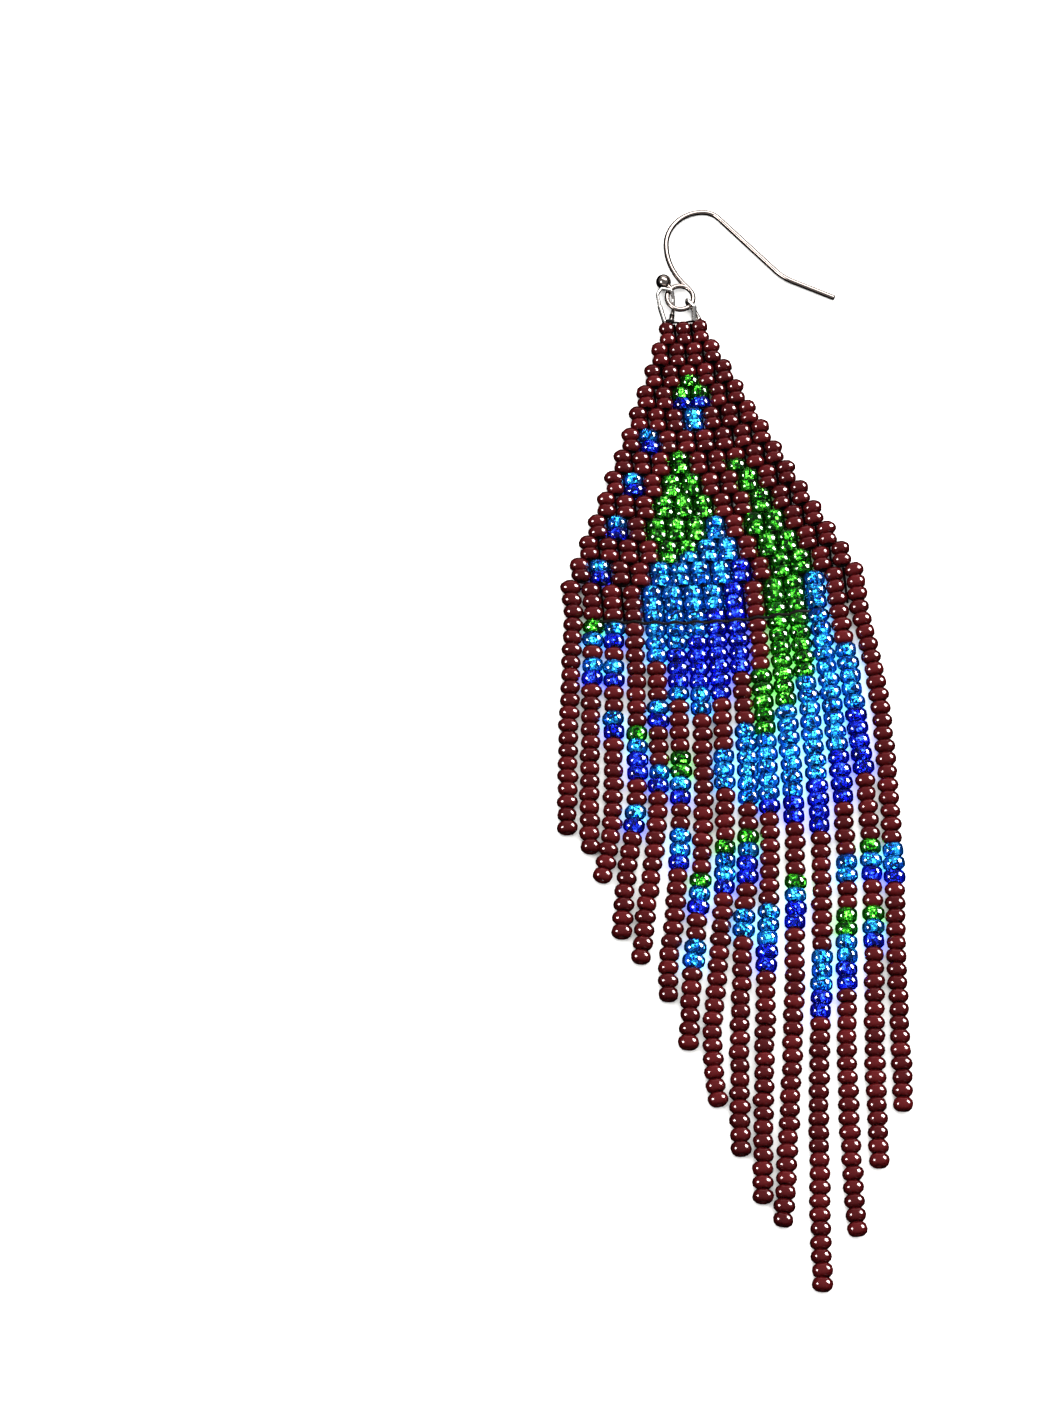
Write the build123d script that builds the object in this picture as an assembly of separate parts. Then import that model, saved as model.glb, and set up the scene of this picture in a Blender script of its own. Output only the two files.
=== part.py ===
from build123d import *
import math
import os

# Beaded fringe earring, lying flat. Millimetres. +X runs across the beadwork, +Y from the
# fringe to the hook, +Z up from the surface z = 0 that it rests on.

# Beads and the plain solids that hold their place
bead_diameter = 2.1
woven_thickness = 2.1
side_rounding = 0.95
seam_gap = 0.12
strand_gap = 0.16

# Woven triangle: each row has one column more than the row above it
top_columns = 3
woven_rows = 12
row_pitch = 2.77
row_overlap = 0.3
top_spacing = 1.93
base_spacing = 2.35
spread_power = 0.6
base_height = 4.38

# How the woven part lies: its top's middle, the lean of its axis and of its rows, and their sag
woven_top = (-4.97, 50.78)
axis_lean = 5.3
row_tilt = 3.9
sag_share = 0.052

# Ear hook: a planar wire from the ring to the tail's tip, with a ball beside the ring;
# ring_offset is the ring's centre, from the middle of the woven top
wire_radius = 0.3
ring_wire_radius = 0.285
ring_offset = (-0.26, 3.29)
ring_radius = 1.55
ring_height = 1.0
ring_leave_angle = 42
neck_length = 1.2
shank_radius = 7.5
bend_radius = 4.5
crown_radius = 2.5
crown_turn = 46
tail_length = 9.6
kick_radius = 6.0
kick_turn = 22.8
tip_length = 5.4
tip_rounding = 0.15
ball_radius = 0.88
ball_offset = (-1.95, 2.09)

# Wire guards: bent wires that link the ring to the first and third column of the top row
guard_wire_radius = 0.2
guard_tube_radius = 0.28
guard_clearance = 0.12
guard_bend_radius = 0.32
guard_seat_gap = 0.17
ring_to_guard = ring_wire_radius + guard_wire_radius + guard_clearance
over_ring = ring_height + ring_to_guard
under_ring = ring_height - ring_to_guard

# Routes of the guards, chosen by hand: (right, up, level) from the ring's centre; the two ends
# of each are (across, level) on the top row
left_guard_ends = [(-2.1, 1.05), (-1.32, 0.95)]
left_guard_route = [
    (-2.42, -1.2, 1.25),
    (-2.72, 0.2, over_ring),
    (-2.2, 0.98, over_ring),
    (-1.0, 0.72, over_ring),
    (-0.78, -0.1, ring_height),
    (-0.8, -1.25, under_ring),
    (-0.94, -1.95, under_ring),
]
right_guard_ends = [(1.38, 1.1), (2.05, 0.95)]
right_guard_route = [
    (1.65, -1.35, over_ring),
    (0.8, -0.43, over_ring),
    (0.8, -0.43, under_ring),
    (1.7, -1.4, under_ring),
]

# How far down the longest strand reaches, and the routes of all strands, chosen by hand:
# (sideways, down) from where each leaves the base row. The others keep their share of its length
fringe_drop = 80.0
strand_routes = [
    [(-0.9, 12.9), (-0.8, 26.2)],
    [(-0.7, 14.0), (-0.6, 28.2)],
    [(-0.2, 9.3), (-0.2, 18.6), (-0.5, 27.4), (-1.8, 31.4)],
    [(0.2, 13.0), (0.1, 23.0), (-1.5, 32.0), (-1.8, 38.0)],
    [(0.4, 13.5), (0.1, 25.0), (-1.3, 34.0), (-2.0, 40.9)],
    [(0.4, 12.8), (0.4, 25.0), (-0.4, 35.2), (-1.3, 41.1), (-1.2, 45.3)],
    [(0.7, 13.5), (0.6, 25.7), (-0.3, 37.0), (-1.1, 44.0), (-1.4, 51.0)],
    [(0.7, 13.6), (0.8, 25.8), (0.2, 37.1), (-0.9, 46.5), (-1.2, 52.4), (-0.4, 57.7)],
    [(1.0, 13.8), (1.1, 26.5), (0.2, 39.0), (-0.5, 51.4), (-0.4, 63.6)],
    [(0.9, 14.7), (1.2, 29.1), (0.4, 42.9), (-0.1, 56.3), (-0.4, 69.3)],
    [(1.2, 14.4), (1.7, 28.3), (1.3, 43.1), (0.6, 57.8), (-0.5, 72.3)],
    [(1.6, 14.8), (2.3, 29.9), (1.9, 46.6), (1.1, 63.3), (1.4, 80.0)],
    [(2.0, 15.3), (2.8, 30.3), (2.4, 45.7), (2.2, 60.0), (3.0, 74.2)],
    [(2.3, 15.8), (3.3, 30.8), (3.2, 44.5), (3.0, 56.1), (3.3, 66.9)],
    [(0.9, 4.9), (2.2, 10.9), (2.8, 20.0), (3.5, 33.8), (3.4, 48.0), (3.8, 61.0)],
]
run_share = 0.45

fringe_stretch = fringe_drop / max(route[-1][1] for route in strand_routes)
ring_centre = (woven_top[0] + ring_offset[0], woven_top[1] + ring_offset[1])
base_columns = top_columns + woven_rows
base_top = woven_rows * row_pitch + seam_gap
base_bottom = base_top + base_height


def woven_width(columns, spacing):
    return (columns - 1) * spacing + bead_diameter


def woven_point(across, down, width):
    # a place in the woven part: the rows curve up towards both ends, as a fan does
    lean = math.radians(axis_lean)
    tilt = math.radians(row_tilt)
    lift = sag_share * width * (2 * across / width) ** 2
    x = woven_top[0] + down * math.sin(lean) + across * math.cos(tilt)
    y = woven_top[1] - down * math.cos(lean) + across * math.sin(tilt) + lift
    return (x, y)


def woven_slab(columns, spacing, upper, lower):
    width = woven_width(columns, spacing)
    half = width / 2
    left_top, middle_top, right_top = [woven_point(a, upper, width) for a in (-half, 0, half)]
    left_low, middle_low, right_low = [woven_point(a, lower, width) for a in (-half, 0, half)]
    outline = [
        ThreePointArc(left_top, middle_top, right_top),
        Line(right_top, right_low),
        ThreePointArc(right_low, middle_low, left_low),
        Line(left_low, left_top),
    ]
    slab = extrude(make_face(outline), amount=woven_thickness)
    level_lines = [e for e in slab.edges().filter_by(GeomType.LINE) if abs(e.tangent_at(0).Z) < 0.5]
    return fillet(level_lines, side_rounding)


def row_spacing(row):
    share = (row - 1) / woven_rows
    return top_spacing + (base_spacing - top_spacing) * share ** spread_power


def bead_triangle():
    triangle = Part()
    for row in range(1, woven_rows + 1):
        upper = (row - 1) * row_pitch
        lower = row * row_pitch
        if row < woven_rows:
            lower += row_overlap
        triangle += woven_slab(top_columns + row - 1, row_spacing(row), upper, lower)
    return triangle


def base_row():
    return woven_slab(base_columns, base_spacing, base_top, base_bottom)


def strand_points(column):
    middle = (base_columns - 1) / 2
    across = (column - middle) * base_spacing
    start = woven_point(across, base_bottom + strand_gap, woven_width(base_columns, base_spacing))
    level = bead_diameter / 2
    points = [Vector(start[0], start[1], level)]
    for sideways, down in strand_routes[column]:
        points.append(Vector(start[0] + sideways, start[1] - down * fringe_stretch, level))
    return points


def corner_radii(points):
    radii = []
    for before, corner, after in zip(points, points[1:], points[2:]):
        arriving = corner - before
        leaving = after - corner
        turn = math.radians(arriving.get_angle(leaving))
        radii.append(run_share * min(arriving.length, leaving.length) / math.tan(turn / 2))
    return radii


def tube_along(path, radius):
    return sweep(Plane(origin=path @ 0, z_dir=path % 0) * Circle(radius), path=path)


def strand(column):
    points = strand_points(column)
    radii = corner_radii(points)
    path = FilletPolyline(*points, radius=radii)
    print(f"strand {column + 1}: length {path.length:.1f}, radii", [round(r) for r in radii])
    return tube_along(path, bead_diameter / 2)


def ring_point(angle, distance=ring_radius):
    turn = math.radians(angle)
    return Vector(
        ring_centre[0] + distance * math.cos(turn),
        ring_centre[1] + distance * math.sin(turn),
        wire_radius,
    )


def hook_path():
    # from the ring up the shank, over the crown and down the tail to its tip
    start = ring_point(ring_leave_angle)
    heading = Vector(1, 0, 0).rotate(Axis.Z, ring_leave_angle + 90)
    neck = Line(start, start + heading * neck_length)
    shank = JernArc(neck @ 1, neck % 1, shank_radius, -ring_leave_angle)
    bend = JernArc(shank @ 1, shank % 1, bend_radius, -90)
    crown = JernArc(bend @ 1, bend % 1, crown_radius, -crown_turn)
    tail = Line(crown @ 1, crown @ 1 + (crown % 1) * tail_length)
    kick = JernArc(tail @ 1, tail % 1, kick_radius, kick_turn)
    tip = Line(kick @ 1, kick @ 1 + (kick % 1) * tip_length)
    return Wire([neck, shank, bend, crown, tail, kick, tip]), bend @ 1, tip @ 1


def hook_lift():
    # the hook tips about the line from its crown to its tail's tip, so that the ring stands clear
    _, crown_place, tip_place = hook_path()
    axis = Axis(crown_place, tip_place - crown_place)
    reach = (ring_point(0, 0) - crown_place).cross(axis.direction).length
    angle = math.degrees(math.asin((ring_height - wire_radius) / reach))
    side = (ring_point(0, 0) - crown_place).cross(axis.direction).Z
    return axis, math.copysign(angle, -side)


def ear_hook():
    path, _, tip_place = hook_path()
    wire = tube_along(path, wire_radius)
    tip_rim = wire.edges().filter_by(GeomType.CIRCLE).sort_by_distance(tip_place)[0]
    wire = fillet(tip_rim, tip_rounding)
    ring = Pos(*ring_point(0, 0)) * Torus(ring_radius, ring_wire_radius)
    joint = Pos(*ring_point(ring_leave_angle)) * Sphere(wire_radius)
    ball_place = ring_point(0, 0) + Vector(*ball_offset)
    ball = Pos(*ball_place) * Sphere(ball_radius)
    ball_angle = math.degrees(math.atan2(ball_offset[1], ball_offset[0]))
    stub = tube_along(Line(ring_point(ball_angle), ball_place), wire_radius)
    hook = wire + joint + ring + stub + ball
    axis, angle = hook_lift()
    hook = hook.rotate(axis, angle)
    return Pos(0, 0, -hook.bounding_box().min.Z) * hook


def leg_end(across, level):
    x, y = woven_point(across, -guard_seat_gap, woven_width(top_columns, top_spacing))
    return Vector(x, y, level)


def guard(ends, route):
    # a bent wire with a tube on each leg; both legs end just above the top row
    first, last = [leg_end(across, level) for across, level in ends]
    bends = [Vector(ring_centre[0] + right, ring_centre[1] + up, level) for right, up, level in route]
    path = FilletPolyline(first, *bends, last, radius=guard_bend_radius)
    first_leg = tube_along(Line(first, bends[0]), guard_tube_radius)
    last_leg = tube_along(Line(last, bends[-1]), guard_tube_radius)
    return tube_along(path, guard_wire_radius) + first_leg + last_leg


def save(shape, name):
    export_step(shape, f"parts/{name}.step")


os.makedirs("parts", exist_ok=True)
save(ear_hook(), "ear_hook")
save(guard(left_guard_ends, left_guard_route), "guard_left")
save(guard(right_guard_ends, right_guard_route), "guard_right")
save(bead_triangle(), "bead_triangle")
save(base_row(), "base_row")
for column in range(base_columns):
    save(strand(column), f"strand_{column + 1:02d}")
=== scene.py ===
import bpy
import math
import random
from mathutils import Matrix, Vector


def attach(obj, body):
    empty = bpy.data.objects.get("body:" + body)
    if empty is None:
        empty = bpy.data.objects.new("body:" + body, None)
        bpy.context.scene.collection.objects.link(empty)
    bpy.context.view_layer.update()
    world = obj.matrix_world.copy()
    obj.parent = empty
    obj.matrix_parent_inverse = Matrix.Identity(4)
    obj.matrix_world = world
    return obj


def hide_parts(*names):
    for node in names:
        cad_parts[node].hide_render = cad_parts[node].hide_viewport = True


# Beaded fringe earring, lying flat on a pale surface. Sizes are in millimetres until a mesh is made.
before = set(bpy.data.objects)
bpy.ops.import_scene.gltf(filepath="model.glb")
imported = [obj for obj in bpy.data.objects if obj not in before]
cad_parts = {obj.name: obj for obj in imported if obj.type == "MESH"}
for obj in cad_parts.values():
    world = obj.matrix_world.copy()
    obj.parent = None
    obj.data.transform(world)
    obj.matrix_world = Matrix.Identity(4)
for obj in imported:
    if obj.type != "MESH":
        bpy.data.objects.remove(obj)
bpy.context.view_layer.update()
millimetre = 0.001
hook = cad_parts["ear_hook"]
guards = [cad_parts["guard_left"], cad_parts["guard_right"]]


def deselectAll():
    bpy.ops.object.select_all(action="DESELECT")


def pickObjects(objects):
    deselectAll()
    for item in objects:
        item.select_set(True)
    bpy.context.view_layer.objects.active = objects[0]


# Colours and nodes


def hexToLinear(text):
    channels = [int(text[i:i + 2], 16) / 255 for i in (1, 3, 5)]
    linear = [c / 12.92 if c <= 0.04045 else ((c + 0.055) / 1.055) ** 2.4 for c in channels]
    return (*linear, 1.0)


def addNode(material, kind, settings=None, inputs=None, links=None):
    node = material.node_tree.nodes.new(kind)
    for name, value in (settings or {}).items():
        setattr(node, name, value)
    for name, value in (inputs or {}).items():
        node.inputs[name].default_value = value
    for name, socket in (links or {}).items():
        material.node_tree.links.new(socket, node.inputs[name])
    return node


def newMaterial(name):
    material = bpy.data.materials.new(name)
    material.use_nodes = True
    material.node_tree.nodes.clear()
    return material


def finishMaterial(material, shader):
    addNode(material, "ShaderNodeOutputMaterial", links={"Surface": shader})
    return material


def shadeRamp(material, factor, stops):
    ramp = addNode(material, "ShaderNodeValToRGB", links={"Fac": factor})
    elements = ramp.color_ramp.elements
    while len(elements) < len(stops):
        elements.new(0.5)
    for element, (place, colour) in zip(elements, stops):
        element.position = place
        element.color = hexToLinear(colour)
    return ramp.outputs["Color"]


# Pressed opaque seed bead glass, fire polished: a deep red-brown body under a wet-looking skin, with each
# bead a little redder or browner than the next
def opaqueGlass():
    settings = {"dark": "#4A1619", "middle": "#53191C", "light": "#5C1D20", "roughness": 0.14}
    material = newMaterial("OpaqueMaroonSeedBeadGlass")
    tone = addNode(material, "ShaderNodeAttribute", {"attribute_name": "beadTone"})
    colour = shadeRamp(material, tone.outputs["Fac"], [
        (0.0, settings["dark"]), (0.5, settings["middle"]), (1.0, settings["light"])])
    shader = addNode(material, "ShaderNodeBsdfPrincipled", inputs={
        "Roughness": settings["roughness"], "IOR": 1.5}, links={"Base Color": colour})
    return finishMaterial(material, shader.outputs["BSDF"])


# Transparent seed bead glass around a mirrored hole: the body is clear and strongly coloured, so the
# edges go deep and the middle flashes. Light passes it and colours the surface below
def clearGlass(name, tint, passed):
    material = newMaterial(name)
    glass = addNode(material, "ShaderNodeBsdfPrincipled", inputs={
        "Base Color": hexToLinear(tint), "Roughness": 0.02, "IOR": 1.5, "Transmission Weight": 0.94})
    passing = addNode(material, "ShaderNodeBsdfTransparent", inputs={"Color": hexToLinear(passed)})
    path = addNode(material, "ShaderNodeLightPath")
    mix = addNode(material, "ShaderNodeMixShader", links={"Fac": path.outputs["Is Shadow Ray"]})
    material.node_tree.links.new(glass.outputs["BSDF"], mix.inputs[1])
    material.node_tree.links.new(passing.outputs["BSDF"], mix.inputs[2])
    return finishMaterial(material, mix.outputs["Shader"])


# Silver lining of a transparent bead's square hole: crumpled foil seen through the coloured glass, dented
# into flakes. Its colour is painted in flakes too: near-white silver ones, and dark tinted ones that are
# painted shade for flakes that catch no light
def silverLining(name, tint, paintedShade):
    material = newMaterial(name)
    place = addNode(material, "ShaderNodeTexCoord")
    flakes = addNode(material, "ShaderNodeTexVoronoi", inputs={"Scale": 1 / (0.42 * millimetre)},
                     links={"Vector": place.outputs["Object"]})
    spread = addNode(material, "ShaderNodeSeparateColor", links={"Color": flakes.outputs["Color"]})
    # painted shade: a share of the flakes get the dark tinted colour instead of silver
    colour = shadeRamp(material, spread.outputs["Red"], [(0.40, paintedShade), (0.56, tint)])
    dents = addNode(material, "ShaderNodeBump", inputs={"Strength": 1.0, "Distance": 0.12 * millimetre},
                    links={"Height": flakes.outputs["Distance"]})
    shader = addNode(material, "ShaderNodeBsdfPrincipled", inputs={
        "Metallic": 0.8, "Roughness": 0.12}, links={"Normal": dents.outputs["Normal"], "Base Color": colour})
    return finishMaterial(material, shader.outputs["BSDF"])


# Drawn and polished surgical steel wire: a clean mirror with the faintest draw marks
def polishedSteel():
    material = newMaterial("PolishedSteelWire")
    place = addNode(material, "ShaderNodeTexCoord")
    grain = addNode(material, "ShaderNodeTexNoise", inputs={"Scale": 1 / (0.4 * millimetre), "Detail": 2.0},
                    links={"Vector": place.outputs["Object"]})
    rough = addNode(material, "ShaderNodeMapRange", inputs={"To Min": 0.06, "To Max": 0.16},
                    links={"Value": grain.outputs["Fac"]})
    shader = addNode(material, "ShaderNodeBsdfPrincipled", inputs={
        "Base Color": hexToLinear("#BCB0AA"), "Metallic": 1.0}, links={"Roughness": rough.outputs["Result"]})
    return finishMaterial(material, shader.outputs["BSDF"])


# Silver plated guard wire, brighter and a little softer than the hook
def platedSilver():
    material = newMaterial("SilverPlatedWire")
    place = addNode(material, "ShaderNodeTexCoord")
    grain = addNode(material, "ShaderNodeTexNoise", inputs={"Scale": 1 / (0.55 * millimetre), "Detail": 2.0},
                    links={"Vector": place.outputs["Object"]})
    rough = addNode(material, "ShaderNodeMapRange", inputs={"To Min": 0.10, "To Max": 0.18},
                    links={"Value": grain.outputs["Fac"]})
    shader = addNode(material, "ShaderNodeBsdfPrincipled", inputs={
        "Base Color": hexToLinear("#F2EEEA"), "Metallic": 1.0}, links={"Roughness": rough.outputs["Result"]})
    return finishMaterial(material, shader.outputs["BSDF"])


# Waxed nylon beading thread: nearly black, dull, with a twist too fine to show but as a soft mottle
def waxedThread():
    material = newMaterial("WaxedNylonThread")
    place = addNode(material, "ShaderNodeTexCoord")
    twist = addNode(material, "ShaderNodeTexNoise", inputs={"Scale": 1 / (0.33 * millimetre), "Detail": 1.0},
                    links={"Vector": place.outputs["Object"]})
    colour = shadeRamp(material, twist.outputs["Fac"], [(0.35, "#040202"), (0.65, "#120607")])
    shader = addNode(material, "ShaderNodeBsdfPrincipled", inputs={
        "Roughness": 0.7, "Specular IOR Level": 0.2}, links={"Base Color": colour})
    return finishMaterial(material, shader.outputs["BSDF"])


maroonGlass = opaqueGlass()
# each lining's second colour is the dark tint of its painted-shade flakes
glassKinds = {
    "green": (clearGlass("ClearGreenSeedBeadGlass", "#307626", "#50B82C"),
              silverLining("SilverLiningGreen", "#F8FFE0", "#24501E")),
    "aqua": (clearGlass("ClearAquaSeedBeadGlass", "#2474A2", "#3CB0E8"),
             silverLining("SilverLiningAqua", "#F4FEFF", "#1C4878")),
    "cobalt": (clearGlass("ClearCobaltSeedBeadGlass", "#1A2E96", "#3058E0"),
               silverLining("SilverLiningCobalt", "#F2F4FF", "#20287A")),
}
steel = polishedSteel()
silver = platedSilver()
thread = waxedThread()
print("materials made")

# Metal: the hook and its guards keep their own shapes
for node, finish in [(hook, steel), (guards[0], silver), (guards[1], silver)]:
    for slot in node.material_slots:
        slot.material = finish

# One bead of each glass, turned from its section: (distance from the axis, place along it), for a bead
# 2.1 across that takes up 1.44 of its thread. The line from the last point back to the first is the wall
# of the hole
beadShape = {
    "diameter": 2.1,
    "pitch": 1.44,
    "roundSection": [(0.36, -0.56), (0.62, -0.71), (0.96, -0.38), (1.05, 0.0), (0.96, 0.38), (0.62, 0.71),
                     (0.36, 0.56)],
    "fullSection": [(0.36, -0.60), (0.74, -0.71), (1.0, -0.42), (1.05, 0.0), (1.0, 0.42), (0.74, 0.71),
                    (0.36, 0.60)],
    "segments": 8,
    "holeSide": 0.78,
    "holeRadius": 0.40,
    "wallSlack": 0.12,
    "cornerReach": 1.25,
    "weld": 0.02,
}


def turnBead(name, section, squareHole):
    deselectAll()
    bpy.ops.mesh.primitive_circle_add(vertices=len(section), radius=millimetre)
    bead = bpy.context.object
    bead.name = name
    for vertex, (outward, along) in zip(bead.data.vertices, section):
        vertex.co = Vector((outward, 0, along)) * millimetre
    bpy.ops.object.mode_set(mode="EDIT")
    bpy.ops.mesh.select_all(action="SELECT")
    bpy.ops.mesh.spin(steps=beadShape["segments"], angle=2 * math.pi, center=(0, 0, 0), axis=(0, 0, 1))
    bpy.ops.mesh.select_all(action="SELECT")
    bpy.ops.mesh.remove_doubles(threshold=beadShape["weld"] * millimetre)
    bpy.ops.mesh.normals_make_consistent(inside=False)
    bpy.ops.object.mode_set(mode="OBJECT")
    bpy.ops.object.shade_smooth()
    if squareHole:
        squareTheHole(bead)
    return bead


def isHoleWall(mesh, face):
    limit = (beadShape["holeRadius"] + beadShape["wallSlack"]) * millimetre
    return all(mesh.vertices[i].co.xy.length < limit for i in face.vertices)


def squareTheHole(bead):
    # the mirrored wall is square with flat faces, which is what makes it flash
    half = beadShape["holeSide"] / 2 * millimetre
    mesh = bead.data
    wall = [face for face in mesh.polygons if isHoleWall(mesh, face)]
    for index in {i for face in wall for i in face.vertices}:
        point = mesh.vertices[index].co
        angle = math.atan2(point.y, point.x)
        reach = half / max(abs(math.cos(angle)), abs(math.sin(angle)))
        reach = min(reach, beadShape["cornerReach"] * half)
        point.x, point.y = reach * math.cos(angle), reach * math.sin(angle)
    for face in wall:
        face.material_index = 1
        face.use_smooth = False


roundBead = turnBead("roundBead", beadShape["roundSection"], False)
linedBead = turnBead("linedBead", beadShape["fullSection"], True)
print("beads turned:", len(roundBead.data.polygons), "and", len(linedBead.data.polygons), "faces")

# How the woven part lies, as in the frame: its top's middle, the lean of its axis and rows, and their sag
weave = {
    "top": (-4.97, 50.78),
    "lean": math.radians(5.3),
    "tilt": math.radians(3.9),
    "sagShare": 0.052,
    "topColumns": 3,
    "rows": 12,
    "rowPitch": 2.77,
    "topSpacing": 1.93,
    "baseSpacing": 2.35,
    "spreadPower": 0.6,
    "seam": 0.12,
    "baseHeight": 4.38,
    "strandGap": 0.16,
    "holder": 2.1,
}
weave["baseColumns"] = weave["topColumns"] + weave["rows"]
weave["baseTop"] = weave["rows"] * weave["rowPitch"] + weave["seam"]
weave["baseBottom"] = weave["baseTop"] + weave["baseHeight"]


def wovenWidth(columns, spacing):
    return (columns - 1) * spacing + weave["holder"]


def wovenPoint(across, down, width):
    lift = weave["sagShare"] * width * (2 * across / width) ** 2
    x = weave["top"][0] + down * math.sin(weave["lean"]) + across * math.cos(weave["tilt"])
    y = weave["top"][1] - down * math.cos(weave["lean"]) + across * math.sin(weave["tilt"]) + lift
    return Vector((x, y, 0))


def rowSpacing(row):
    share = (row - 1) / weave["rows"]
    return weave["topSpacing"] + (weave["baseSpacing"] - weave["topSpacing"]) * share ** weave["spreadPower"]


# The figure in the beads: a tail feather's eye with a barb beside it, in green, aqua and cobalt on maroon, a
# small diamond above and paired spots at the side. Outlines in millimetres from the middle of the woven top
featherFigure = {
    "diamondCentre": (0.9, -10.0),
    "diamondHalf": (2.3, 3.7),
    "diamondBands": (-9.4, -11.2),
    "spotFirst": (-4.0, -14.9),
    "spotStep": (-1.95, -5.65),
    "spotCount": 4,
    "spotHalf": (1.1, 1.4),
    "eye": [(-1.8, -16.1), (0.2, -16.1), (2.9, -22.0), (7.8, -30.0), (6.8, -34.5), (7.2, -42.4),
            (2.3, -49.0), (-0.2, -49.0), (-2.4, -45.8), (-2.5, -42.7), (-4.8, -42.7), (-5.0, -33.8),
            (-3.2, -27.8), (-4.4, -25.2), (-2.5, -19.4)],
    "eyeGreen": [(-2.0, -31.0), (3.5, -25.0)],
    "eyeGreenFoot": -30.5,
    "pupil": [(5.2, -28.8), (8.2, -28.8), (7.6, -43.8), (3.5, -48.2), (0.0, -44.4), (-2.4, -46.0),
              (-2.4, -41.0), (2.1, -39.4), (2.1, -36.1), (4.4, -36.1)],
    "barb": [(4.9, -17.0), (7.1, -17.0), (14.5, -30.6), (16.1, -31.4), (16.8, -40.2), (19.3, -40.4),
             (20.8, -56.2), (16.2, -60.6), (15.0, -63.4), (12.8, -63.2), (11.4, -60.6), (7.0, -60.6),
             (5.0, -58.4), (2.4, -57.8), (2.4, -53.6), (4.9, -52.6), (6.9, -50.2), (8.2, -44.6),
             (9.4, -41.8), (9.0, -34.0), (9.9, -30.2), (8.4, -27.2), (7.0, -24.4), (7.8, -21.8)],
    "barbGreen": [(8.4, -51.9), (13.1, -44.9)],
    "barbGreenFoot": -50.9,
    "barbGreenSide": 14.1,
    "barbTips": [(7.2, -59.3), (11.0, -59.1), (14.4, -57.1), (17.1, -53.3), (19.0, -48.4), (21.0, -48.0),
                 (22.0, -58.0), (16.0, -66.0), (7.2, -66.0)],
}

# Spots in the fringe: strand, beads down from the base row, then how many are green, aqua and cobalt
fringeSpots = [
    (2, 0, 1, 1, 0), (2, 3, 0, 1, 1), (3, 0, 0, 1, 1), (3, 3, 0, 1, 1), (3, 7, 0, 1, 1),
    (4, 8, 1, 1, 2), (4, 14, 0, 1, 1), (5, 6, 0, 1, 1), (5, 11, 0, 1, 1), (6, 10, 2, 1, 1),
    (6, 16, 0, 2, 1), (7, 19, 1, 1, 1), (7, 24, 0, 2, 0), (8, 17, 1, 2, 1), (9, 16, 1, 1, 2),
    (9, 22, 0, 2, 0), (10, 22, 0, 3, 2), (11, 20, 1, 1, 2), (12, 26, 0, 3, 2), (13, 19, 0, 2, 0),
    (13, 23, 2, 2, 2), (14, 18, 1, 1, 1), (14, 23, 1, 1, 1), (15, 19, 0, 2, 1),
]


def inside(outline, x, y):
    hit = False
    for (x1, y1), (x2, y2) in zip(outline, outline[1:] + outline[:1]):
        if (y1 > y) != (y2 > y) and x < (x2 - x1) * (y - y1) / (y2 - y1) + x1:
            hit = not hit
    return hit


def above(line, x, y):
    (x1, y1), (x2, y2) = line
    return y > y1 + (y2 - y1) * (x - x1) / (x2 - x1)


def diamondColour(x, y):
    centre, half = featherFigure["diamondCentre"], featherFigure["diamondHalf"]
    if abs(x - centre[0]) / half[0] + abs(y - centre[1]) / half[1] > 1:
        return None
    green, cobalt = featherFigure["diamondBands"]
    return "green" if y > green else "cobalt" if y > cobalt else "aqua"


def spotColour(x, y):
    first, step, half = featherFigure["spotFirst"], featherFigure["spotStep"], featherFigure["spotHalf"]
    for number in range(featherFigure["spotCount"]):
        across, up = x - first[0] - number * step[0], y - first[1] - number * step[1]
        if abs(across) < half[0] and abs(up) < half[1]:
            return "aqua" if up > 0 else "cobalt"


def eyeColour(x, y):
    if inside(featherFigure["eye"], x, y):
        if above(featherFigure["eyeGreen"], x, y) and y > featherFigure["eyeGreenFoot"]:
            return "green"
        return "cobalt" if inside(featherFigure["pupil"], x, y) else "aqua"


def barbColour(x, y):
    if inside(featherFigure["barb"], x, y):
        high = above(featherFigure["barbGreen"], x, y) and y > featherFigure["barbGreenFoot"]
        if high and x < featherFigure["barbGreenSide"]:
            return "green"
        return "cobalt" if inside(featherFigure["barbTips"], x, y) else "aqua"


def figureColour(centre):
    x, y = centre.x - weave["top"][0], centre.y - weave["top"][1]
    return diamondColour(x, y) or spotColour(x, y) or eyeColour(x, y) or barbColour(x, y) or "maroon"


def fringeColour(strand, number, centre):
    for place, first, green, aqua, cobalt in fringeSpots:
        run = ["green"] * green + ["aqua"] * aqua + ["cobalt"] * cobalt
        if place == strand and first <= number < first + len(run):
            return run[number - first]
    return figureColour(centre)


# Bead placing: a woven bead's width and length are shares of its column's spacing and its row's pitch, a
# fringe bead's are millimetres, and no bead is taller than the solids. Then how far one bead strays from
# the next: its width by kind, its length, its tip and lean in degrees, and its place
random.seed(7)
beadSizes = {
    "woven": 1.04,
    "wovenLength": 1.06,
    "fringePitch": 1.58,
    "fringe": 2.47,
    "tallest": 2.1,
    "solid": (0.94, 1.02),
    "lined": (1.03, 1.07),
    "lengths": (0.96, 1.0),
    "tip": 5,
    "lean": 7,
    "wovenWobble": 0.05,
    "wovenSink": 0.03,
    "fringeWobble": 0.06,
    "slopeReach": 0.5,
    "axisBlend": 0.5,
    "strandSteps": 24,
}


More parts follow.
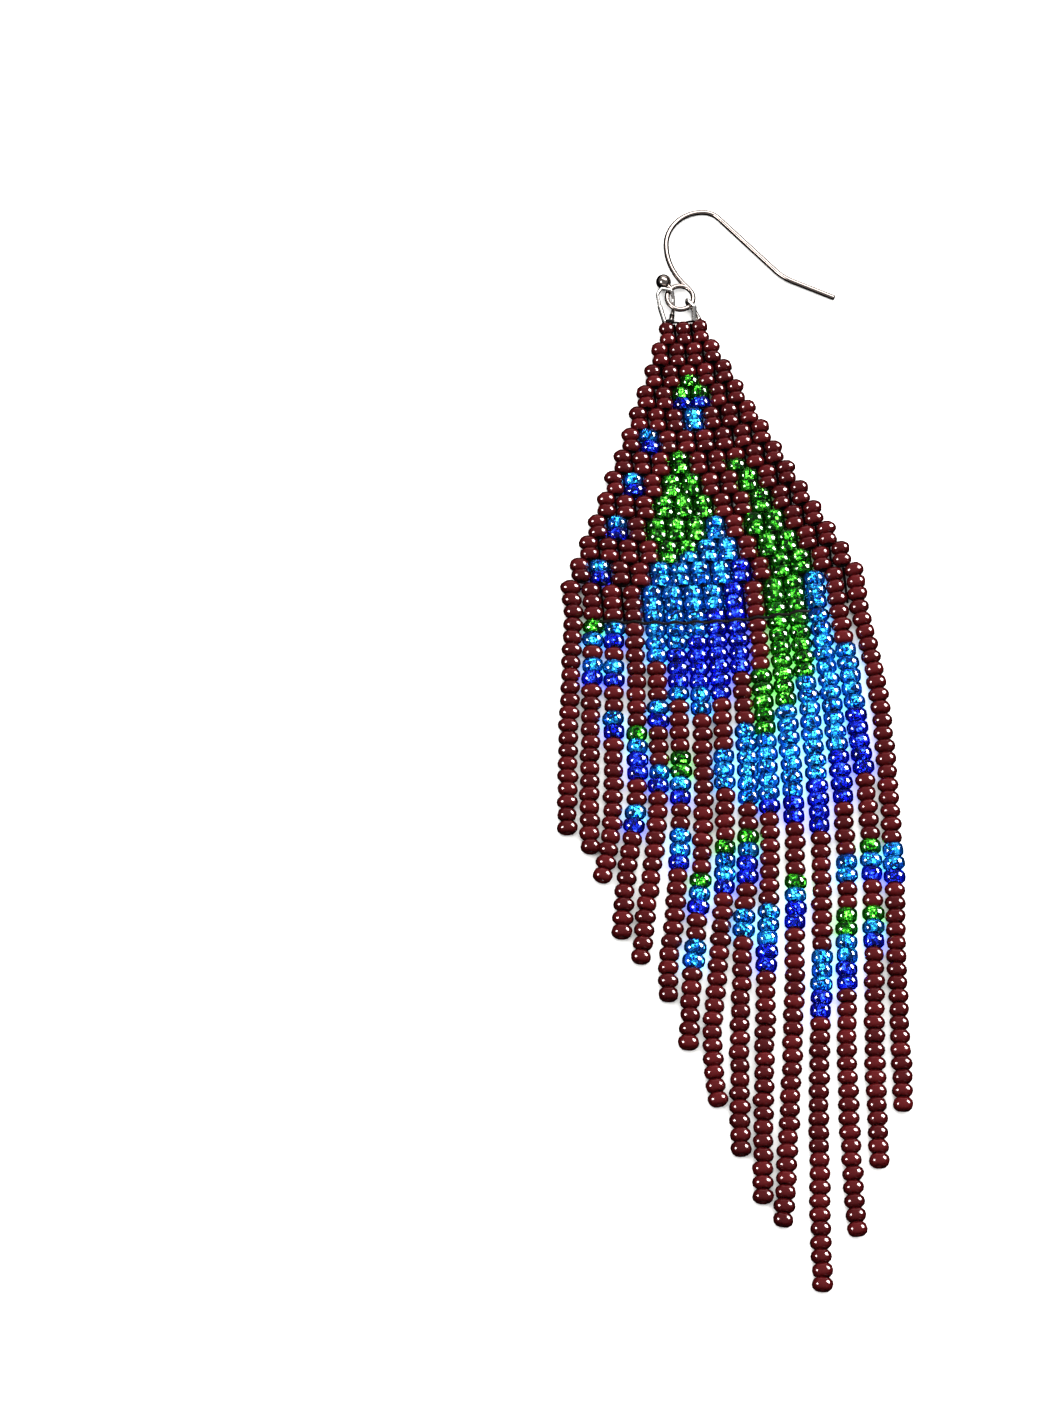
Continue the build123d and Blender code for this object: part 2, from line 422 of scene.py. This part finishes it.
def placeBead(colour, centre, axis, diameter, length):
    # one bead with its hole along axis, a little different from the next in size, turn and tone
    master = roundBead if colour == "maroon" else linedBead
    bead = bpy.data.objects.new("bead", master.data.copy())
    bpy.context.collection.objects.link(bead)
    least, most = beadSizes["lined"] if colour != "maroon" else beadSizes["solid"]
    wide = diameter / beadShape["diameter"] * random.uniform(least, most)
    flat = min(wide, beadSizes["tallest"] / beadShape["diameter"])
    long = length / beadShape["pitch"] * random.uniform(*beadSizes["lengths"])
    turn = Matrix.Rotation(random.uniform(0, 2 * math.pi), 4, "Z")
    tip = Matrix.Rotation(math.radians(random.uniform(-beadSizes["tip"], beadSizes["tip"])), 4, "X")
    lean = Matrix.Rotation(math.radians(random.uniform(-beadSizes["lean"], beadSizes["lean"])), 4, "Y")
    stand = axis.to_track_quat("Z", "Y").to_matrix().to_4x4()
    size = Matrix.Diagonal((wide, flat, long, 1))
    bead.data.transform(Matrix.Translation(centre * millimetre) @ stand @ lean @ tip @ size @ turn)
    tone = bead.data.attributes.new("beadTone", "FLOAT", "POINT")
    value = random.uniform(0, 1)
    tone.data.foreach_set("value", [value] * len(bead.data.vertices))
    return bead


slotOrder = ["green", "aqua", "cobalt"]


def joinBeads(name, placed):
    # placed is a list of (bead, colour); the joined piece has a slot for each glass it needs
    finishes = [maroonGlass] + [finish for kind in slotOrder for finish in glassKinds[kind]]
    for bead, colour in placed:
        mesh = bead.data
        for finish in finishes:
            mesh.materials.append(finish)
        first = 0 if colour == "maroon" else 1 + 2 * slotOrder.index(colour)
        for face in mesh.polygons:
            face.material_index += first
    pickObjects([bead for bead, colour in placed])
    bpy.ops.object.join()
    piece = bpy.context.object
    piece.name = name
    piece.data.name = name
    bpy.ops.object.material_slot_remove_unused()
    deselectAll()
    return piece


def wovenRow(columns, spacing, upper, lower, count):
    placed = []
    width = wovenWidth(columns, spacing)
    pitch = (lower - upper) / count
    reach, stray = beadSizes["slopeReach"], beadSizes["wovenWobble"]
    for column in range(columns):
        across = (column - (columns - 1) / 2) * spacing
        for number in range(count):
            down = upper + (number + 0.5) * pitch
            centre = wovenPoint(across, down, width)
            axis = wovenPoint(across, down - pitch / 2, width) - wovenPoint(across, down + pitch / 2, width)
            slope = wovenPoint(across + reach, down, width) - wovenPoint(across - reach, down, width)
            slope.normalize()
            upright = Vector((-slope.y, slope.x, 0))
            axis = upright.lerp(axis.normalized(), beadSizes["axisBlend"]).normalized()
            colour = figureColour(centre)
            side = spacing * beadSizes["woven"]
            wobble = Vector((random.uniform(-stray, stray), random.uniform(-stray, stray), 0))
            level = Vector((0, 0, weave["holder"] / 2 + random.uniform(-beadSizes["wovenSink"], 0.0)))
            long = pitch * beadSizes["wovenLength"]
            placed.append((placeBead(colour, centre + wobble + level, axis, side, long), colour))
    return placed


triangleBeads = []
for row in range(1, weave["rows"] + 1):
    upper = (row - 1) * weave["rowPitch"]
    columns = weave["topColumns"] + row - 1
    triangleBeads += wovenRow(columns, rowSpacing(row), upper, upper + weave["rowPitch"], 2)
triangle = joinBeads("beadedTriangle", triangleBeads)
base = joinBeads("beadedBaseRow", wovenRow(
    weave["baseColumns"], weave["baseSpacing"], weave["baseTop"], weave["baseBottom"], 3))
print("woven rows placed:", len(triangleBeads), "beads in the triangle")

# Routes of the strands, as in the frame: (sideways, down) from where each leaves the base row
strandRoutes = [
    [(-0.9, 12.9), (-0.8, 26.2)],
    [(-0.7, 14.0), (-0.6, 28.2)],
    [(-0.2, 9.3), (-0.2, 18.6), (-0.5, 27.4), (-1.8, 31.4)],
    [(0.2, 13.0), (0.1, 23.0), (-1.5, 32.0), (-1.8, 38.0)],
    [(0.4, 13.5), (0.1, 25.0), (-1.3, 34.0), (-2.0, 40.9)],
    [(0.4, 12.8), (0.4, 25.0), (-0.4, 35.2), (-1.3, 41.1), (-1.2, 45.3)],
    [(0.7, 13.5), (0.6, 25.7), (-0.3, 37.0), (-1.1, 44.0), (-1.4, 51.0)],
    [(0.7, 13.6), (0.8, 25.8), (0.2, 37.1), (-0.9, 46.5), (-1.2, 52.4), (-0.4, 57.7)],
    [(1.0, 13.8), (1.1, 26.5), (0.2, 39.0), (-0.5, 51.4), (-0.4, 63.6)],
    [(0.9, 14.7), (1.2, 29.1), (0.4, 42.9), (-0.1, 56.3), (-0.4, 69.3)],
    [(1.2, 14.4), (1.7, 28.3), (1.3, 43.1), (0.6, 57.8), (-0.5, 72.3)],
    [(1.6, 14.8), (2.3, 29.9), (1.9, 46.6), (1.1, 63.3), (1.4, 80.0)],
    [(2.0, 15.3), (2.8, 30.3), (2.4, 45.7), (2.2, 60.0), (3.0, 74.2)],
    [(2.3, 15.8), (3.3, 30.8), (3.2, 44.5), (3.0, 56.1), (3.3, 66.9)],
    [(0.9, 4.9), (2.2, 10.9), (2.8, 20.0), (3.5, 33.8), (3.4, 48.0), (3.8, 61.0)],
]


def strandLine(column):
    # a smooth line along the strand's route, read off as points in millimetres
    width = wovenWidth(weave["baseColumns"], weave["baseSpacing"])
    across = (column - (weave["baseColumns"] - 1) / 2) * weave["baseSpacing"]
    start = wovenPoint(across, weave["baseBottom"] + weave["strandGap"], width)
    route = [start] + [start + Vector((sideways, -down, 0)) for sideways, down in strandRoutes[column]]
    curve = bpy.data.curves.new("strandLine", "CURVE")
    curve.dimensions = "3D"
    spline = curve.splines.new("NURBS")
    spline.points.add(len(route) - 1)
    for point, place in zip(spline.points, route):
        point.co = (*place, 1)
    spline.order_u = 3
    spline.use_endpoint_u = True
    spline.resolution_u = beadSizes["strandSteps"]
    line = bpy.data.objects.new("strandLine", curve)
    bpy.context.collection.objects.link(line)
    mesh = bpy.data.meshes.new_from_object(line)
    points = [vertex.co.copy() for vertex in mesh.vertices]
    bpy.data.objects.remove(line)
    bpy.data.curves.remove(curve)
    bpy.data.meshes.remove(mesh)
    return points


def alongLine(points, distance):
    # the place and heading at that distance along the line
    for a, b in zip(points, points[1:]):
        step = (b - a).length
        if distance <= step:
            return a.lerp(b, distance / step), (b - a).normalized()
        distance -= step
    heading = (points[-1] - points[-2]).normalized()
    return points[-1] + heading * distance, heading


strands = []
for column in range(weave["baseColumns"]):
    line = strandLine(column)
    length = sum((b - a).length for a, b in zip(line, line[1:]))
    count = round(length / beadSizes["fringePitch"])
    pitch = length / count
    placed = []
    for number in range(count):
        centre, heading = alongLine(line, (number + 0.5) * pitch)
        colour = fringeColour(column + 1, number, centre)
        stray = random.uniform(-beadSizes["fringeWobble"], beadSizes["fringeWobble"])
        sideways = Vector((-heading.y, heading.x, 0)) * stray
        level = Vector((0, 0, weave["holder"] / 2))
        bead = placeBead(colour, centre + sideways + level, -heading, beadSizes["fringe"], pitch)
        placed.append((bead, colour))
    strands.append(joinBeads(f"beadString{column + 1:02d}", placed))
print("strands strung:", len(strands))

for master in (roundBead, linedBead):
    bpy.data.objects.remove(master)

# Beading thread: through every hole, from column to column between the rows, and slack under the base row.
# Runs of the same dark thread down the gaps between columns are painted shade for those gaps
threadRun = {
    "thickness": 0.26,
    "sides": 3,
    "slack": 0.25,
    "slackColumns": (1, 12),
    "slackLevel": 1.92,
    "slackDip": 0.5,
    "slackSag": 0.35,
    "slackThickness": 0.40,
    "level": 1.0,
    # the level of the painted-shade thread runs down the gaps, and the base row's gaps left without them
    "gapShadeLevel": 0.7,
    "openGaps": (0, 12),
    "knotPlace": (-1.5, -0.02, 1.6),
    "knotTurns": [(-0.42, 0, -0.05), (-0.2, 0.08, 0.08), (0.05, -0.05, 0.12), (0.25, 0.06, 0.08),
                  (0.42, 0, -0.05)],
    "knotThickness": 0.38,
    "endGap": 1.3,
    "crossingInset": 0.05,
    "strungSteps": 12,
    "curveSteps": 2,
}


def threadCurve(name, lines, thickness):
    # one smooth thread for each list of points, made one mesh
    curve = bpy.data.curves.new(name, "CURVE")
    curve.dimensions = "3D"
    for points in lines:
        spline = curve.splines.new("NURBS")
        spline.points.add(len(points) - 1)
        for point, place in zip(spline.points, points):
            point.co = (*(place * millimetre), 1)
        spline.order_u = 3
        spline.use_endpoint_u = True
        spline.resolution_u = threadRun["curveSteps"]
    curve.bevel_depth = thickness / 2 * millimetre
    curve.bevel_resolution = threadRun["sides"] - 2
    curve.use_fill_caps = True
    run = bpy.data.objects.new(name, curve)
    bpy.context.collection.objects.link(run)
    pickObjects([run])
    bpy.ops.object.convert(target="MESH")
    run = bpy.context.object
    run.data.materials.clear()
    run.data.materials.append(thread)
    bpy.ops.object.shade_smooth()
    deselectAll()
    return run


def wovenThreadsAndGapShade():
    level = Vector((0, 0, threadRun["level"]))
    lines = []
    for row in range(1, weave["rows"] + 2):
        isBase = row == weave["rows"] + 1
        columns = weave["baseColumns"] if isBase else weave["topColumns"] + row - 1
        spacing = weave["baseSpacing"] if isBase else rowSpacing(row)
        upper = weave["baseTop"] if isBase else (row - 1) * weave["rowPitch"]
        lower = weave["baseBottom"] if isBase else row * weave["rowPitch"]
        width = wovenWidth(columns, spacing)
        places = [(column - (columns - 1) / 2) * spacing for column in range(columns)]
        downs = (upper, (upper + lower) / 2, lower)
        for across in places:
            lines.append([wovenPoint(across, down, width) + level for down in downs])
        # painted shade: a run of dark thread down each gap between columns, below the thread in the holes,
        # darkens the gaps; the base row's open gaps get none
        for number, across in enumerate(places[:-1]):
            if not (isBase and number in threadRun["openGaps"]):
                between = across + spacing / 2
                deep = Vector((0, 0, threadRun["gapShadeLevel"]))
                lines.append([wovenPoint(between, down, width) + deep for down in downs])
        crossing = []
        for across in places:
            crossing.append(wovenPoint(across, upper + threadRun["crossingInset"], width) + level)
            if across != places[-1]:
                crossing.append(wovenPoint(across + spacing / 2, upper - threadRun["slack"], width) + level)
        lines.append(crossing)
    return lines


def slackLine():
    # the slack run under the base row: over each string of beads in the groove above its first bead, and
    # sagging from one string to the next
    width = wovenWidth(weave["baseColumns"], weave["baseSpacing"])
    groove = weave["baseBottom"] + weave["strandGap"] / 2
    first, last = threadRun["slackColumns"]
    halfSteps = 2 * (last - first)
    line = []
    for step in range(halfSteps + 1):
        across = (first + step / 2 - (weave["baseColumns"] - 1) / 2) * weave["baseSpacing"]
        between = step % 2
        level = threadRun["slackLevel"] - between * threadRun["slackDip"]
        if step in (0, halfSteps):
            level = threadRun["level"]
        place = wovenPoint(across, groove + between * threadRun["slackSag"], width)
        line.append(place + Vector((0, 0, level)))
    return line


def knotLine():
    # the small knot where the thread ends, on the first bead beside the left guard
    across, down, level = threadRun["knotPlace"]
    place = wovenPoint(across, down, wovenWidth(weave["topColumns"], weave["topSpacing"]))
    return [place + Vector((0, 0, level)) + Vector(turn) for turn in threadRun["knotTurns"]]


def strungThreads():
    lines = []
    level = Vector((0, 0, weave["holder"] / 2))
    for column in range(weave["baseColumns"]):
        line = strandLine(column)
        reach = sum((b - a).length for a, b in zip(line, line[1:])) - threadRun["endGap"]
        steps = threadRun["strungSteps"]
        lines.append([alongLine(line, reach * step / steps)[0] + level for step in range(steps + 1)])
    return lines


weaveThreadAndGapShade = threadCurve("beadingThreadAndGapShade", wovenThreadsAndGapShade() + strungThreads(), threadRun["thickness"])
slackThread = threadCurve("slackThread", [slackLine()], threadRun["slackThickness"])
knot = threadCurve("threadKnot", [knotLine()], threadRun["knotThickness"])
print("thread run:", len(weaveThreadAndGapShade.data.polygons), "faces")

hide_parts("bead_triangle")
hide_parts("base_row")
for number, piece in enumerate(strands, 1):
    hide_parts(f"strand_{number:02d}")
for piece in [triangle, base, *strands]:
    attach(piece, "root")
for piece in [weaveThreadAndGapShade, slackThread, knot]:
    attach(piece, "root")

# Floor, lights and camera
stageLook = {
    "floorSize": 1.6,
    "floorColour": "#F4F3F1",
    "target": (-23.41, 3.80),
    "distance": 600.0,
    "tilt": math.radians(20),
    "lens": 134.04,
    "clip": (0.01, 10),
    "roomColour": "#F2F4F6",
    "roomStrength": 0.28,
    "footStrength": 0.01,
    "wallFoot": 0.0,
    "wallTop": 0.45,
}


def paleFloor():
    deselectAll()
    bpy.ops.mesh.primitive_plane_add(size=stageLook["floorSize"])
    floor = bpy.context.object
    floor.name = "floor"
    material = newMaterial("PaleMattBoard")
    shader = addNode(material, "ShaderNodeBsdfPrincipled", inputs={
        "Base Color": hexToLinear(stageLook["floorColour"]), "Roughness": 0.9, "Specular IOR Level": 0.1})
    floor.data.materials.append(finishMaterial(material, shader.outputs["BSDF"]))
    floor.visible_glossy = False
    floor.visible_diffuse = False


# Two low softboxes that gleam on the beads and through them, one that is only seen through clear glass,
# one that gleams on the wires and a small one for the second highlight of the ball, a pale wall behind,
# and a big soft light overhead that only diffuse rays see, which brightens beads and floor without a
# reflection. Each has its direction, distance, width, height and radiance, the kinds of ray that see it,
# and the pieces it falls on, where None is all of them
wires = [hook, *guards]
beadwork = [triangle, base, *strands, weaveThreadAndGapShade, slackThread, knot]
softboxes = {
    "rightSoftbox": ((0.832, 0.356, 0.426), 0.75, 0.56, 0.50, 30.0, "glossy transmission", beadwork),
    "leftSoftbox": ((-0.84, -0.16, 0.52), 0.75, 0.34, 0.32, 30.0, "glossy transmission", beadwork),
    "glassSoftbox": ((-0.10, 0.20, 0.97), 0.75, 0.34, 0.34, 170.0, "transmission", beadwork),
    "wireSoftbox": ((0.2, 0.5, 0.84), 0.75, 1.1, 0.5, 2.8, "glossy", wires),
    "ballSoftbox": ((-0.62, -0.30, 0.72), 0.75, 0.3, 0.3, 4.5, "glossy", wires),
    "backWall": ((0.05, 0.95, 0.22), 0.9, 1.1, 0.36, 0.8, "glossy transmission", None),
    "overheadSoftbox": ((0.12, 0.20, 0.95), 0.9, 1.9, 1.9, 2.75, "diffuse", None),
}


def softLight(name, direction, distance, width, height, radiance, rays, pieces):
    data = bpy.data.lights.new(name, "AREA")
    data.shape = "ELLIPSE"
    data.size, data.size_y = width, height
    data.energy = radiance * math.pi * math.pi / 4 * width * height
    light = bpy.data.objects.new(name, data)
    light.location = Vector(direction).normalized() * distance
    light.rotation_euler = (-light.location).to_track_quat("-Z", "Y").to_euler()
    light.visible_diffuse = "diffuse" in rays
    light.visible_glossy = "glossy" in rays
    light.visible_transmission = "transmission" in rays
    bpy.context.collection.objects.link(light)
    if pieces:
        light.light_linking.receiver_collection = bpy.data.collections.new(name)
        for piece in pieces:
            light.light_linking.receiver_collection.objects.link(piece)


def photoCamera():
    data = bpy.data.cameras.new("camera")
    data.lens = stageLook["lens"]
    data.clip_start, data.clip_end = stageLook["clip"]
    camera = bpy.data.objects.new("camera", data)
    target = Vector((*stageLook["target"], 0))
    back = Vector((0, -math.sin(stageLook["tilt"]), math.cos(stageLook["tilt"])))
    camera.location = (target + back * stageLook["distance"]) * millimetre
    camera.rotation_euler = (-back).to_track_quat("-Z", "Y").to_euler()
    bpy.context.collection.objects.link(camera)
    bpy.context.scene.camera = camera


def dimRoom():
    # for reflections a dim grey room above the floor's level and a dark one below it, so that rims and wire
    # edges go dark; seen straight it is as pale as the floor
    world = bpy.data.worlds.new("dimRoom")
    world.use_nodes = True
    world.node_tree.nodes.clear()
    place = addNode(world, "ShaderNodeTexCoord")
    axes = addNode(world, "ShaderNodeSeparateXYZ", links={"Vector": place.outputs["Generated"]})
    bright = addNode(world, "ShaderNodeMapRange", {"interpolation_type": "SMOOTHSTEP"}, {
        "From Min": stageLook["wallFoot"], "From Max": stageLook["wallTop"],
        "To Min": stageLook["footStrength"], "To Max": stageLook["roomStrength"]},
                     {"Value": axes.outputs["Z"]})
    colour = hexToLinear(stageLook["roomColour"])
    room = addNode(world, "ShaderNodeBackground", inputs={"Color": colour},
                   links={"Strength": bright.outputs["Result"]})
    backdrop = addNode(world, "ShaderNodeBackground", inputs={"Color": colour})
    path = addNode(world, "ShaderNodeLightPath")
    mix = addNode(world, "ShaderNodeMixShader", links={"Fac": path.outputs["Is Camera Ray"]})
    world.node_tree.links.new(room.outputs["Background"], mix.inputs[1])
    world.node_tree.links.new(backdrop.outputs["Background"], mix.inputs[2])
    addNode(world, "ShaderNodeOutputWorld", links={"Surface": mix.outputs["Shader"]})
    bpy.context.scene.world = world


paleFloor()
dimRoom()
for name, settings in softboxes.items():
    softLight(name, *settings)
photoCamera()
bpy.context.scene.view_settings.view_transform = "Standard"
bpy.context.scene.view_settings.look = "High Contrast"
print("floor, lights and camera set")
